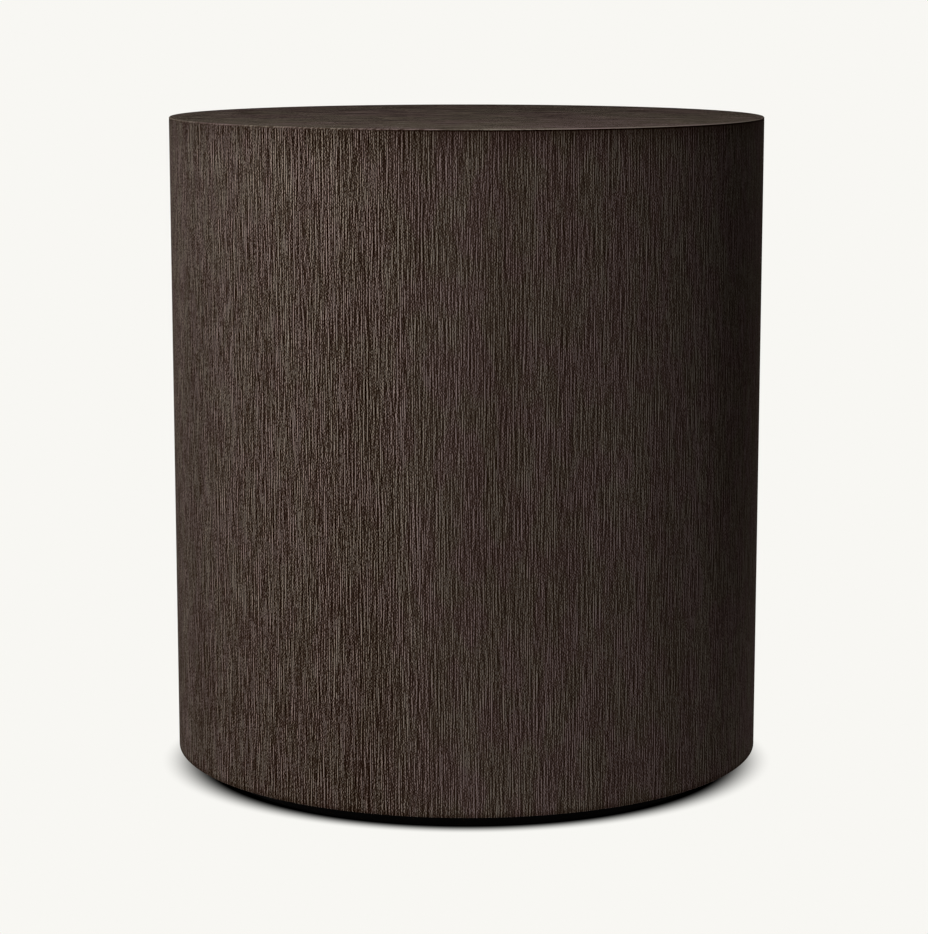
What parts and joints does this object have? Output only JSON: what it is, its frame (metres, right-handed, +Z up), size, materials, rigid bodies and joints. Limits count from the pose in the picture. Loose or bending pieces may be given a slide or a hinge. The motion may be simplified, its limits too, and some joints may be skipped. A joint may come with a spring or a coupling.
{
  "type": "drum side table",
  "caption": "Round drum side table: a closed cylinder in dark brushed oak veneer with a flat top, on a recessed black plinth with levellers hidden under it.",
  "frame": {"origin": "centre of the footprint, on the floor", "axes": "+Z up along the drum axis, -Y towards the viewer of the picture, top grain along X"},
  "size_m": [0.457, 0.457, 0.508],
  "materials": {
    "dark_oak_veneer": "dark brown stained, wire brushed, matt lacquer",
    "backing_veneer": "plain balancing veneer",
    "black_paint": "fibreboard in matt black paint",
    "fibreboard": "raw board",
    "plywood": "raw plywood",
    "hardwood": "planed hardwood",
    "zinc_steel": "zinc plated",
    "nylon": "moulded nylon"
  },
  "bodies": {
    "table": {"bottom_panel": "fibreboard", "middle_former": "plywood", "plinth": "black_paint", "plinth_screws": "zinc_steel", "seam_spline_back": "hardwood", "seam_spline_front": "hardwood", "side_veneer_1": "dark_oak_veneer", "side_veneer_2": "dark_oak_veneer", "side_veneer_3": "dark_oak_veneer", "side_veneer_4": "dark_oak_veneer", "side_veneer_5": "dark_oak_veneer", "side_veneer_6": "dark_oak_veneer", "side_veneer_7": "dark_oak_veneer", "side_veneer_8": "dark_oak_veneer", "stile_1": "hardwood", "stile_2": "hardwood", "stile_3": "hardwood", "stile_4": "hardwood", "stile_screws_lower": "zinc_steel", "stile_screws_upper": "zinc_steel", "tee_nuts": "zinc_steel", "top_backing_veneer": "backing_veneer", "top_dowels": "hardwood", "top_former": "plywood", "top_panel": "fibreboard", "top_screws": "zinc_steel", "top_veneer_1": "dark_oak_veneer", "top_veneer_2": "dark_oak_veneer", "top_veneer_3": "dark_oak_veneer", "wall_shell_left": "plywood", "wall_shell_right": "plywood"},
    "leveller_1": {"leveller_stud_1": "zinc_steel", "leveller_pad_1": "nylon"},
    "leveller_2": {"leveller_stud_2": "zinc_steel", "leveller_pad_2": "nylon"},
    "leveller_3": {"leveller_stud_3": "zinc_steel", "leveller_pad_3": "nylon"},
    "leveller_4": {"leveller_stud_4": "zinc_steel", "leveller_pad_4": "nylon"}
  },
  "joints": [
    {"name": "leveller_1_wind", "type": "slide", "parent": "table", "child": "leveller_1", "axis": [0, 0, -1], "range_m": [0, 0.01]},
    {"name": "leveller_2_wind", "type": "slide", "parent": "table", "child": "leveller_2", "axis": [0, 0, -1], "range_m": [0, 0.01]},
    {"name": "leveller_3_wind", "type": "slide", "parent": "table", "child": "leveller_3", "axis": [0, 0, -1], "range_m": [0, 0.01]},
    {"name": "leveller_4_wind", "type": "slide", "parent": "table", "child": "leveller_4", "axis": [0, 0, -1], "range_m": [0, 0.01]}
  ]
}
